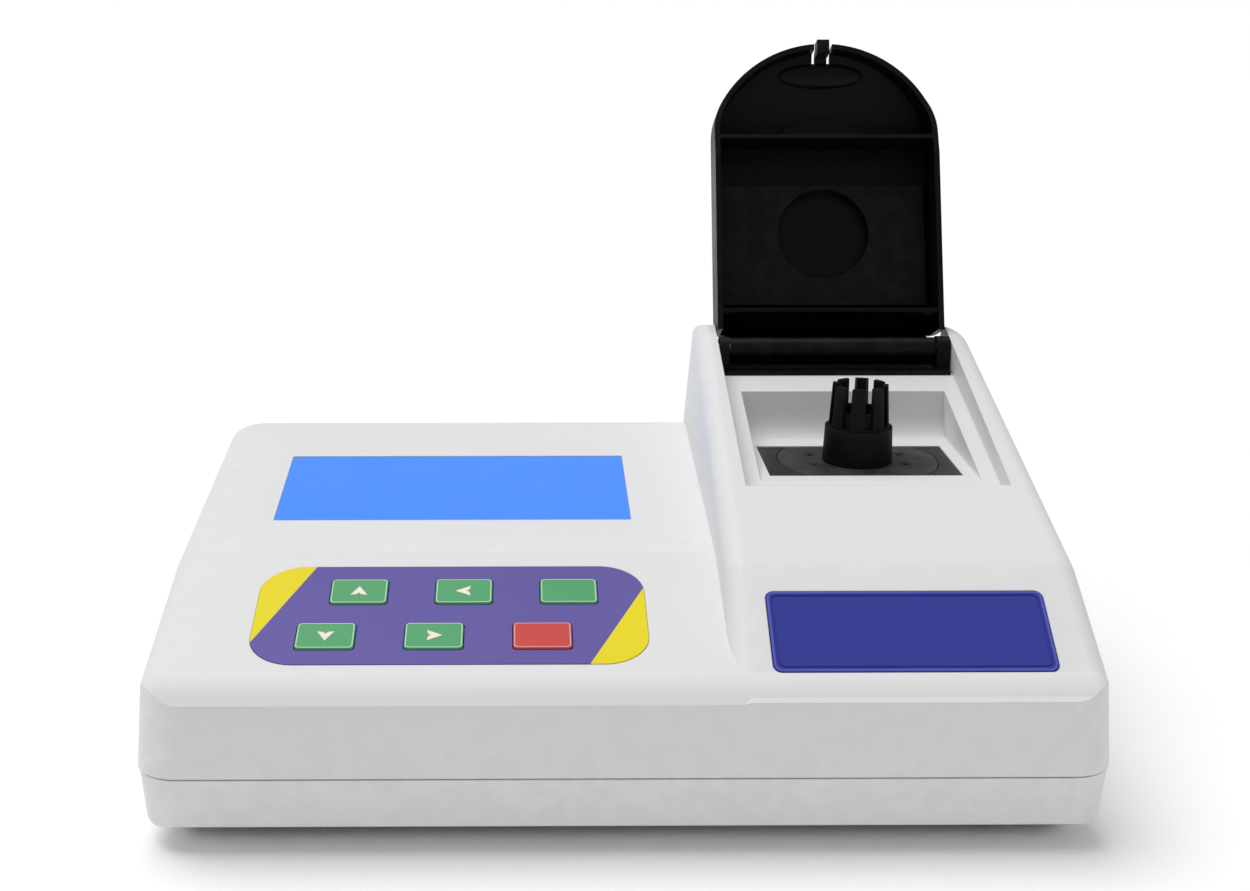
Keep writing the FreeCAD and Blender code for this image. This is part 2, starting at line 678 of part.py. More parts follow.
def lid_edges(block):
    chosen = []
    for edge in block.Edges:
        middle = edge.valueAt((edge.FirstParameter + edge.LastParameter) / 2)
        if middle.y < 2.0 or middle.z > -5.0:
            continue
        faces = block.ancestorsOfType(edge, Part.Face)
        falls = [face.normalAt(*face.Surface.parameter(middle)).z for face in faces]
        if len(falls) == 2 and min(falls) < -0.4 and max(falls) > -0.2:
            chosen.append(edge)
    return chosen


def grip(depth):
    """Oval bulge behind the finger hollow of the lid's tip, its middle at a depth from the inner face."""
    stretch = FreeCAD.Matrix()
    stretch.scale(V(*GRIP_HALVES))
    oval = Part.makeSphere(1.0).transformGeometry(stretch)
    return tilted(oval, V(0, GRIP_CENTRE[0], GRIP_CENTRE[1] + depth), GRIP_TILT)


def sample_lid():
    outer = lid_block(0.0, 0.0)
    outer = outer.makeFillet(5.0, lid_edges(outer))
    shell = outer.cut(lid_block(LID_WALL, 1.0))
    room = lid_block(LID_WALL - 0.1, 0.0)
    ribs = [box((-50.0, 50.0), (y - 0.8, y + 0.8), (-LID_DEPTH, -0.6)) for y in (RIB_NEAR, RIB_FAR)]
    ribs = [rib.common(room) for rib in ribs]
    barrel = rod_x(BARREL_RADIUS, (-41.0, 41.0), 0.0, 0.0)
    web = box((-41.0, 41.0), (-3.9, 1.0), (-6.0, -2.0))
    tab = box((-2.5, 2.5), (LID_LENGTH - 4.0, LID_LENGTH + 1.8), (-11.0, -LID_RIM_STEP))
    dome = cone(DOME_RADII[0], DOME_RADII[1], (-LID_DEPTH + 0.5, -17.4), 0.0, DOME_CENTRE)
    dome = dome.common(box((-40.0, 40.0), (RIB_FAR, LID_LENGTH), (-LID_DEPTH, 0.0)))
    shell = shell.cut(grip(-LID_WALL))
    shell = shell.fuse(ribs + [barrel, web, dome.common(room), grip(0.0).common(room)])
    taper = [(LID_RIM_TAPER[0], 1.0, 0), (LID_RIM_TAPER[0], 0.0, 0), (LID_RIM_TAPER[1], -LID_RIM_STEP, 0),
             (140.0, -LID_RIM_STEP, 0), (140.0, 1.0, 0)]
    cuts = [side_prism(taper, (-60.0, 60.0))]
    notch = (LID_LENGTH - 6.0, LID_LENGTH + 5.0)
    cuts += [box((x - 0.6, x + 0.6), notch, (-LID_DEPTH, 1.0)) for x in (-3.1, 3.1)]
    cuts += [box((x - 5.0, x + 5.0), (-10.0, 7.5), (-LID_DEPTH - 1.0, 1.0)) for x in (-46.5, 46.5)]
    shell = shell.cut(cuts).fuse(tab)
    return on_lid(shell.cut(rod_x(PIN_RADIUS + RUNNING_GAP, (-60.0, 60.0), 0.0, 0.0)).removeSplitter())


def lid_inner_panel():
    half = LID_HALF_WIDTH - LID_WALL - 1.5
    plate = box((-half, half), (20.0, 70.5), (-16.6, -15.0))
    posts = [post(2.5, (LID_WALL - LID_DEPTH, -16.0), x, y) for x in (-36.0, 36.0) for y in (25.0, 65.0)]
    hole = Part.makeCylinder(18.8, 10.0, V(0, 49.9, -20.0))
    return on_lid(plate.fuse(posts).cut(hole))


def hinge_pin():
    return rod_x(PIN_RADIUS, (POCKET_X[0] + 0.4, POCKET_X[1] - 0.4), HINGE_Y, HINGE_Z)


def hinge_bracket():
    floor = POCKET_BACK[1]
    across = (POCKET_X[0] + 1.0, POCKET_X[1] - 1.0)
    shapes = [box(across, (186.2, 207.0), (floor, floor + 1.6))]
    shapes.append(box(across, (205.4, 207.0), (floor, floor + 4.4)))
    for x_range in ((47.3, 51.15), (134.35, 139.6)):
        shapes.append(box(x_range, (HINGE_Y - 4.5, HINGE_Y + 4.5), (floor, HINGE_Z)))
        shapes.append(rod_x(4.5, x_range, HINGE_Y, HINGE_Z))
    return joined(shapes).cut(rod_x(PIN_RADIUS + RUNNING_GAP, (40.0, 150.0), HINGE_Y, HINGE_Z))


# ---------------------------------------------------------------- optics

def optical_block():
    block = box(BLOCK_X, BLOCK_Y, BLOCK_Z)
    cuts = [post(8.5, (16.0, 90.0), SOCKET_X, SOCKET_Y),
            post(12.6, (ADAPTER_BOTTOM - 0.5, 90.0), SOCKET_X, SOCKET_Y),
            rod_y(3.5, (BLOCK_Y[0] - 1.0, BLOCK_Y[1] + 1.0), SOCKET_X, BEAM_Z)]
    legs = [post(5.0, (FLOOR_Z, BLOCK_Z[0]), x, y) for x in (80.0, 107.6) for y in (123.0, 152.0)]
    return block.fuse(legs).cut(cuts)


def lamp_housing():
    tube = rod_y(11.0, (28.0, 60.0), SOCKET_X, BEAM_Z)
    foot = box((SOCKET_X - 9.0, SOCKET_X + 9.0), (34.0, 54.0), (FLOOR_Z, BEAM_Z - 6.0))
    bores = [rod_y(8.0, (31.0, 61.0), SOCKET_X, BEAM_Z), rod_y(3.2, (27.0, 62.0), SOCKET_X, BEAM_Z)]
    return tube.fuse(foot).cut(bores)


def lamp():
    base = rod_y(3.1, (22.0, 36.0), SOCKET_X, BEAM_Z)
    bulb = rod_y(2.6, (36.0, 43.0), SOCKET_X, BEAM_Z)
    return base.fuse([bulb, Part.makeSphere(2.6, V(SOCKET_X, 43.0, BEAM_Z))])


def condenser_lens():
    disc = rod_y(7.9, (52.0, 58.0), SOCKET_X, BEAM_Z)
    radius = 14.0
    dome = Part.makeSphere(radius, V(SOCKET_X, 58.0 - radius, BEAM_Z))
    return disc.common(dome)


def filter_places():
    wheel_z = BEAM_Z - WHEEL_PITCH
    places = []
    for i in range(FILTER_COUNT):
        turn = 2 * math.pi * i / FILTER_COUNT
        places.append((SOCKET_X + WHEEL_PITCH * math.sin(turn), wheel_z + WHEEL_PITCH * math.cos(turn)))
    return places


def filter_wheel():
    wheel_z = BEAM_Z - WHEEL_PITCH
    disc = rod_y(WHEEL_RADIUS, (WHEEL_Y, WHEEL_Y + 3.0), SOCKET_X, wheel_z)
    hub = rod_y(5.0, (WHEEL_Y - 4.0, WHEEL_Y + 3.0), SOCKET_X, wheel_z)
    holes = [rod_y(4.05, (WHEEL_Y + 0.8, WHEEL_Y + 4.0), x, z) for x, z in filter_places()]
    holes += [rod_y(3.2, (WHEEL_Y - 1.0, WHEEL_Y + 4.0), x, z) for x, z in filter_places()]
    holes.append(rod_y(1.52, (WHEEL_Y - 5.0, WHEEL_Y + 4.0), SOCKET_X, wheel_z))
    return disc.fuse(hub).cut(holes)


def filters():
    return group([rod_y(4.0, (WHEEL_Y + 0.8, WHEEL_Y + 2.8), x, z) for x, z in filter_places()])


def wheel_shaft():
    return rod_y(1.5, (WHEEL_Y - 4.0, 108.0), SOCKET_X, BEAM_Z - WHEEL_PITCH)


def wheel_motor():
    wheel_z = BEAM_Z - WHEEL_PITCH
    can = rod_y(13.0, (91.0, 110.0), SOCKET_X, wheel_z)
    foot = box((SOCKET_X - 10.0, SOCKET_X + 10.0), (94.0, 107.0), (FLOOR_Z, wheel_z))
    return can.fuse(foot).cut(rod_y(1.56, (90.0, 109.0), SOCKET_X, wheel_z))


def photodiode():
    can = rod_y(3.4, (151.0, BLOCK_Y[1] + 1.0), SOCKET_X, BEAM_Z)
    return can.fuse(rod_y(4.4, (BLOCK_Y[1], BLOCK_Y[1] + 1.2), SOCKET_X, BEAM_Z))


def detector_board():
    return box((SOCKET_X - 15.0, SOCKET_X + 15.0), (BLOCK_Y[1] + 1.2, BLOCK_Y[1] + 2.8), (26.0, 66.0))


# ---------------------------------------------------------------- electronics

def board_places():
    columns = (BOARD_X[0] + 5.0, BOARD_X[1] - 5.0)
    rows = (BOARD_Y[0] + 5.0, BOARD_Y[1] - 5.0)
    return [(x, y) for x in columns for y in rows]


def main_board():
    board = box(BOARD_X, BOARD_Y, (BOARD_Z, BOARD_Z + BOARD_THICK))
    return board.cut([post(1.6, (0.0, 20.0), x, y) for x, y in board_places()])


def board_spacers():
    spacers = []
    for x, y in board_places():
        thread = post(1.55, (FLOOR_Z + 1.0, BOARD_Z + 1.0), x, y)
        spacers.append(post(3.2, (FLOOR_Z, BOARD_Z), x, y).cut(thread))
    return group(spacers)


def board_screws():
    screw = pan_screw(2.8, 1.8, 1.5, 8.0)
    top = BOARD_Z + BOARD_THICK
    return group([placed_screw(screw, V(x, y, top), V(0, 0, -1)) for x, y in board_places()])


def main_chips():
    top = BOARD_Z + BOARD_THICK
    sizes = [(14.0, 14.0, 1.6, -80.0, 80.0), (18.0, 8.0, 2.4, -45.0, 95.0), (10.0, 8.0, 1.8, -45.0, 70.0),
             (22.0, 9.0, 3.0, -5.0, 75.0), (8.0, 6.0, 1.6, -100.0, 110.0), (12.0, 7.0, 2.0, 5.0, 110.0)]
    return group([centred_box(w, d, (top, top + h), x, y) for w, d, h, x, y in sizes])


def board_connectors():
    top = BOARD_Z + BOARD_THICK
    places = [(-56.0, 62.0), (-30.0, 118.0), (-100.0, 60.0)]
    return group([centred_box(24.0, 6.0, (top, top + 8.0), x, y) for x, y in places])


def keypad_tail():
    top = BOARD_Z + BOARD_THICK + 8.0
    return box((-66.0, -46.0), (61.8, 62.2), (top, deck_z(62.0) - 9.5))


def display_ribbon():
    top = BOARD_Z + BOARD_THICK + 8.0
    return box((-40.0, -20.0), (117.6, 118.4), (top, deck_z(118.0) - 12.6))


def transformer():
    length = (140.0, 178.0)
    stack = [box((-112.0, -62.0), length, (8.0, 20.0))]
    stack.append(box((-112.0, -104.0), length, (20.0, 40.0)))
    stack.append(box((-70.0, -62.0), length, (20.0, 40.0)))
    stack.append(box((-112.0, -62.0), length, (40.0, 48.0)))
    stack += [box(x, (146.0, 172.0), (FLOOR_Z, 8.0)) for x in ((-110.0, -102.0), (-72.0, -64.0))]
    return joined(stack)


def transformer_coil():
    return box((-103.8, -70.2), (134.0, 184.0), (20.2, 39.8))


# ---------------------------------------------------------------- rear panel

def rear_panel():
    plate = box((BAY_X[0] - BAY_RIM, BAY_X[1] + BAY_RIM), (PANEL_Y - PANEL_THICK, PANEL_Y),
                (BAY_Z[0] - BAY_RIM, BAY_Z[1] + BAY_RIM))
    y_range = (PANEL_Y - 5.0, PANEL_Y + 1.0)
    z = CONNECTOR_Z
    cuts = [box((INLET_X - 14.2, INLET_X + 14.2), y_range, (z - 10.7, z + 10.7)),
            box((SWITCH_X - 6.7, SWITCH_X + 6.7), y_range, (z - 9.7, z + 9.7)),
            rod_y(5.6, y_range, FUSE_X, z),
            box((SERIAL_X - 9.7, SERIAL_X + 9.7), y_range, (z - 5.2, z + 5.2))]
    cuts += [rod_y(1.3, y_range, x, z_screw) for x, z_screw in bay_screw_places()]
    cuts += [rod_y(1.6, y_range, SERIAL_X + side * 12.5, z) for side in (-1, 1)]
    return plate.cut(cuts)


def panel_screws():
    screw = pan_screw(2.4, 1.7, 1.25, 7.0)
    y = PANEL_Y - PANEL_THICK
    return group([placed_screw(screw, V(x, y, z), V(0, 1, 0)) for x, z in bay_screw_places()])


def power_inlet():
    z = CONNECTOR_Z
    flange = box((INLET_X - 15.5, INLET_X + 15.5), (PANEL_Y, PANEL_Y + 3.0), (z - 12.0, z + 12.0))
    body = box((INLET_X - 14.0, INLET_X + 14.0), (PANEL_Y - 19.0, PANEL_Y), (z - 10.5, z + 10.5))
    cavity = box((INLET_X - 12.2, INLET_X + 12.2), (PANEL_Y - 14.0, PANEL_Y + 4.0), (z - 8.3, z + 8.3))
    return flange.fuse(body).cut(cavity).removeSplitter()


def inlet_pins():
    z = CONNECTOR_Z
    places = [(-7.0, -2.0), (7.0, -2.0), (0.0, 2.0)]
    return group([box((INLET_X + x - 1.0, INLET_X + x + 1.0), (PANEL_Y - 14.0, PANEL_Y + 1.0),
                      (z + h - 2.2, z + h + 2.2)) for x, h in places])


def switch_frame():
    z = CONNECTOR_Z
    flange = box((SWITCH_X - 7.6, SWITCH_X + 7.6), (PANEL_Y, PANEL_Y + 2.0), (z - 10.6, z + 10.6))
    body = box((SWITCH_X - 6.5, SWITCH_X + 6.5), (PANEL_Y - 14.0, PANEL_Y), (z - 9.5, z + 9.5))
    cavity = box((SWITCH_X - 5.4, SWITCH_X + 5.4), (PANEL_Y - 6.5, PANEL_Y + 3.0), (z - 8.6, z + 8.6))
    pivot = rod_x(1.0, (SWITCH_X - 6.0, SWITCH_X + 6.0), PANEL_Y, z)
    return flange.fuse(body).cut(cavity).fuse(pivot).removeSplitter()


def power_rocker():
    """Rocker, a shallow V across its pivot, lying with its lower half pressed in."""
    profile = [(-2.6, -7.6, 0.4), (2.4, -7.6, 0.8), (1.9, 0.0, 3.0), (2.4, 7.6, 0.8), (-2.6, 7.6, 0.4)]
    rocker = side_prism(profile, (-5.0, 5.0)).cut(rod_x(1.06, (-6.0, 6.0), 0.0, 0.0))
    return tilted(rocker, V(SWITCH_X, PANEL_Y, CONNECTOR_Z), ROCKER_TILT)


def fuse_holder():
    z = CONNECTOR_Z
    collar = rod_y(7.0, (PANEL_Y, PANEL_Y + 2.5), FUSE_X, z)
    barrel = rod_y(5.4, (PANEL_Y - 20.0, PANEL_Y), FUSE_X, z)
    cap = rod_y(5.8, (PANEL_Y + 2.5, PANEL_Y + 7.0), FUSE_X, z)
    slot = box((FUSE_X - 5.0, FUSE_X + 5.0), (PANEL_Y + 6.0, PANEL_Y + 8.0), (z - 0.6, z + 0.6))
    return joined([collar, barrel, cap]).cut(slot)


def serial_port():
    z = CONNECTOR_Z
    flange = box((SERIAL_X - 15.4, SERIAL_X + 15.4), (PANEL_Y, PANEL_Y + 0.8), (z - 6.2, z + 6.2))
    body = box((SERIAL_X - 9.5, SERIAL_X + 9.5), (PANEL_Y - 10.0, PANEL_Y), (z - 5.0, z + 5.0))
    shroud = box((SERIAL_X - 8.4, SERIAL_X + 8.4), (PANEL_Y + 0.8, PANEL_Y + 6.0), (z - 4.2, z + 4.2))
    cavity = box((SERIAL_X - 7.8, SERIAL_X + 7.8), (PANEL_Y - 4.0, PANEL_Y + 7.0), (z - 3.6, z + 3.6))
    holes = [rod_y(1.5, (PANEL_Y - 1.0, PANEL_Y + 1.0), SERIAL_X + side * 12.5, z) for side in (-1, 1)]
    return joined([flange, body, shroud]).cut([cavity] + holes)


def serial_pins():
    pins = []
    for row, count in ((-1.4, 4), (1.4, 5)):
        for i in range(count):
            x = SERIAL_X + (i - (count - 1) / 2) * 2.77
            pins.append(rod_y(0.5, (PANEL_Y - 4.0, PANEL_Y + 5.0), x, CONNECTOR_Z + row))
    return group(pins)


def serial_posts():
    posts = []
    for side in (-1, 1):
        x = SERIAL_X + side * 12.5
        head = rod_y(2.6, (PANEL_Y + 0.8, PANEL_Y + 5.8), x, CONNECTOR_Z)
        stem = rod_y(1.45, (PANEL_Y - 6.0, PANEL_Y + 0.8), x, CONNECTOR_Z)
        posts.append(head.fuse(stem).cut(rod_y(1.3, (PANEL_Y + 1.5, PANEL_Y + 7.0), x, CONNECTOR_Z)))
    return group(posts)


# ---------------------------------------------------------------- all pieces

def build():
    pieces = {
        "upper_shell": upper_shell(), "lower_shell": lower_shell(), "rubber_feet": rubber_feet(),
        "case_screws": case_screws(), "display_window": display_window(), "display_bezel": display_bezel(),
        "display_glass": display_glass(), "display_board": display_board(),
        "display_screws": display_screws(),
        "keypad_overlay": keypad_overlay(), "key_domes": key_domes(), "keypad_board": keypad_board(),
        "front_label": front_label(), "chamber_plate": chamber_plate(), "holder_disc": holder_disc(),
        "disc_screws": disc_screws(), "holder_sleeve": holder_sleeve(), "tube_adapter": tube_adapter(),
        "sample_lid": sample_lid(), "lid_inner_panel": lid_inner_panel(), "hinge_pin": hinge_pin(),
        "hinge_bracket": hinge_bracket(), "optical_block": optical_block(), "lamp_housing": lamp_housing(),
        "lamp": lamp(), "condenser_lens": condenser_lens(), "filter_wheel": filter_wheel(),
        "filters": filters(), "wheel_shaft": wheel_shaft(), "wheel_motor": wheel_motor(),
        "photodiode": photodiode(), "detector_board": detector_board(), "main_board": main_board(),
        "board_spacers": board_spacers(), "board_screws": board_screws(), "main_chips": main_chips(),
        "board_connectors": board_connectors(), "keypad_tail": keypad_tail(),
        "display_ribbon": display_ribbon(), "transformer": transformer(),
        "transformer_coil": transformer_coil(), "rear_panel": rear_panel(), "panel_screws": panel_screws(),
        "power_inlet": power_inlet(), "inlet_pins": inlet_pins(), "switch_frame": switch_frame(),
        "power_rocker": power_rocker(), "fuse_holder": fuse_holder(), "serial_port": serial_port(),
        "serial_pins": serial_pins(), "serial_posts": serial_posts(),
    }
    for name, (x, y) in KEYS.items():
        pieces[name] = key(x, y)
    return pieces


def main():
    pieces = build()
    bounds = group(list(pieces.values())).optimalBoundingBox(False, False)
    shift = V(-bounds.Center.x, -bounds.Center.y, -bounds.ZMin)
    for name, shape in pieces.items():
        moved = shape.copy()
        moved.translate(shift)
        moved.exportStep("parts/" + name + ".step")
        if not shape.isValid():
            print("invalid shape:", name)
    print("origin shift", round(shift.x, 5), round(shift.y, 5), round(shift.z, 5))
    print("size", round(bounds.XLength, 2), round(bounds.YLength, 2), round(bounds.ZLength, 2))


main()
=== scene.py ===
import math

import bmesh
import bpy
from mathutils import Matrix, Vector


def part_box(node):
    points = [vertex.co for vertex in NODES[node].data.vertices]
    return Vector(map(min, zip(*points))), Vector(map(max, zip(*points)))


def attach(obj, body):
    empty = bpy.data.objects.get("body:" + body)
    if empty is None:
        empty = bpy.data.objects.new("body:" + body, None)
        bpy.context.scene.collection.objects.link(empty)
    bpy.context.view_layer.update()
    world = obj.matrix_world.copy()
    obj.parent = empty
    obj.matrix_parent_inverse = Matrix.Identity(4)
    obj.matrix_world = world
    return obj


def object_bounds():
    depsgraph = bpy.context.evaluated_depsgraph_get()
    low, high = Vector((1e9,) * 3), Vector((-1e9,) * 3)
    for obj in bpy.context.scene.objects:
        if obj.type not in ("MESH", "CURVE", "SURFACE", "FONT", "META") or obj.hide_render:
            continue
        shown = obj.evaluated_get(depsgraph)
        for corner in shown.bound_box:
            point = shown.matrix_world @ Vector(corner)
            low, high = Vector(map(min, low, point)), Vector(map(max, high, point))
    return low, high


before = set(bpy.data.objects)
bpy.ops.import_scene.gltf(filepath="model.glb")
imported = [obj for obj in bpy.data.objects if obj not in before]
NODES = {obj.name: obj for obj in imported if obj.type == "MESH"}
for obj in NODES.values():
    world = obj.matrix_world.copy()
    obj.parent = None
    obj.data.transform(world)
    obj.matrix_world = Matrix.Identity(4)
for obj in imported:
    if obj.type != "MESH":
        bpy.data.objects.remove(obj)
cad_low, cad_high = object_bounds()

MM = 0.001

# Planes of the casing that carry printed parts, in degrees from the table
KEYPAD_TILT = 13.9
LABEL_TILT = 32.2
DISPLAY_TILT = 5.1

# Noise scales shared by the finishes, per metre
MOTTLE_SCALE = 22.0
SMUDGE_SCALE = 35.0
RUB_SCALE = 160.0
PRINT_SCALE = 14.0

# Keypad, in the pad's own plane
OVERLAY_LOW, OVERLAY_HIGH = -1.2 * MM, 0.25 * MM
KEY_TOP = 0.85 * MM
KEY_SIZE = (19.0 * MM, 14.0 * MM)
TOP_ROW, BOTTOM_ROW = 12.2 * MM, -13.2 * MM
KEY_ROWS = {
    "key_up": TOP_ROW, "key_left": TOP_ROW, "key_enter": TOP_ROW,
    "key_down": BOTTOM_ROW, "key_right": BOTTOM_ROW, "key_stop": BOTTOM_ROW,
}
ARROW_TURNS = {"key_up": 0, "key_left": 90, "key_down": 180, "key_right": 270}
# Arrowhead with a notched base, in millimetres, pointing up the slope
ARROW_TIP, ARROW_HALF, ARROW_BASE = 2.9, 2.9, -2.3
NOTCH_HALF, NOTCH_SHOULDER, NOTCH_TOP = 0.7, -1.9, -0.9
ARROW_RISE, ARROW_SINK = 0.12 * MM, 0.1 * MM
# Rim round each key: set in from the key's edge by so much at its outside and inside
RIM_OUTSIDE, RIM_INSIDE = 0.25 * MM, 0.75 * MM
RIM_RADII = (1.4 * MM, 1.0 * MM)
RIM_RISE, RIM_SINK = 0.14 * MM, 0.3 * MM
# Yellow corners: each slanting line's two ends, measured from the overlay's corners
LEFT_LINE_FOOT, LEFT_LINE_HEAD = (0.6 * MM, 12.4 * MM), (17.7 * MM, 0.7 * MM)
RIGHT_LINE_HEAD, RIGHT_LINE_FOOT = (0.8 * MM, 39.8 * MM), (19.3 * MM, 0.1 * MM)

# Front label, in its own plane
LABEL_LOW, LABEL_HIGH = -0.9 * MM, 0.1 * MM
LABEL_SIZE = (90.3 * MM, 31.9 * MM)
BORDER_OUTSIDE, BORDER_INSIDE = 0.25 * MM, 1.1 * MM
BORDER_RADII = (2.8 * MM, 2.0 * MM)
BORDER_RISE, BORDER_SINK = 0.22 * MM, 0.2 * MM

# Display: cells of the panel and its glow
CELL_PITCH, CELL_GAP = 0.9 * MM, 0.06 * MM
DISPLAY_GLOW = 0.9

# Copper runs under the solder mask of the boards
RUN_LENGTH, RUN_PITCH, RUN_GAP = 12.0 * MM, 2.5 * MM, 0.45 * MM

# Studio
FLOOR_HALF = 30.0
SKY_STRENGTH = 0.45
SUN_ENERGY = 2.05
SUN_TILT, SUN_TURN, SUN_SPREAD = -20.0, 50.0, 50.0

# Camera, placed from the middle of the casing's front, in metres and degrees
CAMERA_LENS = 52.53
CAMERA_SHIFT = 0.0757
CAMERA_RIGHT, CAMERA_BACK, CAMERA_HEIGHT = -0.0339, 0.5203, 0.2812
CAMERA_PITCH, CAMERA_TURN = 74.29, -0.43
CAMERA_REACH = 100.0


def srgb(red, green, blue):
    """Linear colour from 0-255 display values."""
    linear = []
    for value in (red, green, blue):
        share = value / 255
        linear.append(share / 12.92 if share <= 0.04045 else ((share + 0.055) / 1.055) ** 2.4)
    return (*linear, 1.0)


# ---------------------------------------------------------------- materials

class Graph:
    """A material's node tree, with short calls for the nodes used here."""

    def __init__(self, name):
        self.material = bpy.data.materials.new(name)
        self.material.use_nodes = True
        self.tree = self.material.node_tree
        self.shader = self.tree.nodes["Principled BSDF"]
        self.place = self.add("ShaderNodeTexCoord").outputs["Object"]

    def add(self, kind, **settings):
        node = self.tree.nodes.new(kind)
        for key, value in settings.items():
            setattr(node, key, value)
        return node

    def link(self, source, target):
        self.tree.links.new(source, target)

    def fill(self, socket, value):
        if isinstance(value, bpy.types.NodeSocket):
            self.link(value, socket)
        else:
            socket.default_value = value

    def noise(self, scale, detail=3.0, stretch=None):
        place = self.place
        if stretch:
            scaling = self.add("ShaderNodeVectorMath", operation="MULTIPLY")
            self.link(self.place, scaling.inputs[0])
            scaling.inputs[1].default_value = stretch
            place = scaling.outputs[0]
        node = self.add("ShaderNodeTexNoise")
        self.link(place, node.inputs["Vector"])
        node.inputs["Scale"].default_value = scale
        node.inputs["Detail"].default_value = detail
        return node.outputs["Fac"]

    def remap(self, value, low, high, new_low, new_high):
        node = self.add("ShaderNodeMapRange")
        self.link(value, node.inputs["Value"])
        limits = {"From Min": low, "From Max": high, "To Min": new_low, "To Max": new_high}
        for name, number in limits.items():
            node.inputs[name].default_value = number
        return node.outputs["Result"]

    def mix(self, factor, first, second):
        node = self.add("ShaderNodeMix", data_type="RGBA")
        self.fill(node.inputs["Factor"], factor)
        self.fill(node.inputs["A"], first)
        self.fill(node.inputs["B"], second)
        return node.outputs["Result"]

    def combine(self, operation, first, second):
        node = self.add("ShaderNodeMath", operation=operation)
        self.fill(node.inputs[0], first)
        self.fill(node.inputs[1], second)
        return node.outputs[0]

    def side_of_line(self, start, end, blur=0.00008):
        """1 on the left of the plan line from start to end, 0 on its right."""
        across = Vector((-(end[1] - start[1]), end[0] - start[0], 0)).normalized()
        node = self.add("ShaderNodeVectorMath", operation="DOT_PRODUCT")
        self.link(self.place, node.inputs[0])
        node.inputs[1].default_value = across
        offset = across.x * start[0] + across.y * start[1]
        return self.remap(node.outputs["Value"], offset - blur, offset + blur, 0.0, 1.0)

    def bump(self, height, depth, strength=1.0, edge=0.0):
        node = self.add("ShaderNodeBump")
        self.link(height, node.inputs["Height"])
        node.inputs["Distance"].default_value = depth
        node.inputs["Strength"].default_value = strength
        if edge:
            rounding = self.add("ShaderNodeBevel", samples=4)
            rounding.inputs["Radius"].default_value = edge
            self.link(rounding.outputs["Normal"], node.inputs["Normal"])
        self.link(node.outputs["Normal"], self.shader.inputs["Normal"])


def tones(colour, spread):
    """A darker and a lighter version of a colour."""
    dark = [channel * (1 - spread) for channel in colour[:3]]
    light = [min(1.0, channel * (1 + spread)) for channel in colour[:3]]
    return (*dark, 1.0), (*light, 1.0)


def surface(name, colour, rough, spread=0.05, grain=1800.0, depth=0.00002, edge=0.0003, wear=None,
            rough_spread=0.06, metallic=0.0, coat=0.0, specular=0.5, stretch=None):
    """Moulded, painted or metal surface: mottled colour, fine grain, uneven gloss and rubbed edges."""
    graph = Graph(name)
    dark, light = tones(colour, spread)
    shade = graph.mix(graph.remap(graph.noise(MOTTLE_SCALE), 0.3, 0.7, 0.0, 1.0), dark, light)
    if wear:
        point = graph.add("ShaderNodeNewGeometry").outputs["Pointiness"]
        rubbed = graph.remap(point, 0.53, 0.62, 0.0, 0.5)
        patchy = graph.combine("MULTIPLY", rubbed, graph.remap(graph.noise(RUB_SCALE), 0.4, 0.6, 0.2, 1.0))
        shade = graph.mix(patchy, shade, wear)
    graph.link(shade, graph.shader.inputs["Base Color"])
    fine = graph.noise(grain, 2.0, stretch)
    smudge = graph.noise(SMUDGE_SCALE, 4.0)
    gloss = graph.combine("ADD", graph.remap(smudge, 0.3, 0.7, -rough_spread, rough_spread),
                       graph.remap(fine, 0.3, 0.7, rough - 0.02, rough + 0.02))
    graph.link(gloss, graph.shader.inputs["Roughness"])
    graph.shader.inputs["Metallic"].default_value = metallic
    graph.shader.inputs["Coat Weight"].default_value = coat
    graph.shader.inputs["Specular IOR Level"].default_value = specular
    graph.bump(fine, depth, edge=edge)
    return graph.material


def casing_plastic():
    return surface("casing_plastic", srgb(224, 224, 225), 0.5, spread=0.004, grain=1500.0, depth=0.00003,
                   edge=0.0005, wear=srgb(238, 238, 238), rough_spread=0.015, specular=0.25)


def lid_plastic():
    return surface("lid_plastic", srgb(6, 6, 7), 0.42, spread=0.2, grain=1300.0, depth=0.00003,
                   edge=0.0005, wear=srgb(30, 30, 32), specular=0.12)


def socket_plastic():
    return surface("socket_plastic", srgb(8, 8, 8), 0.5, spread=0.2, grain=2200.0, depth=0.00003,
                   edge=0.0003, wear=srgb(36, 36, 38), specular=0.12)


def anodised_plate():
    return surface("anodised_plate", srgb(40, 36, 37), 0.45, spread=0.15, grain=900.0, depth=0.00001,
                   edge=0.0002, wear=srgb(84, 78, 78), specular=0.2, stretch=(1.0, 0.08, 1.0))


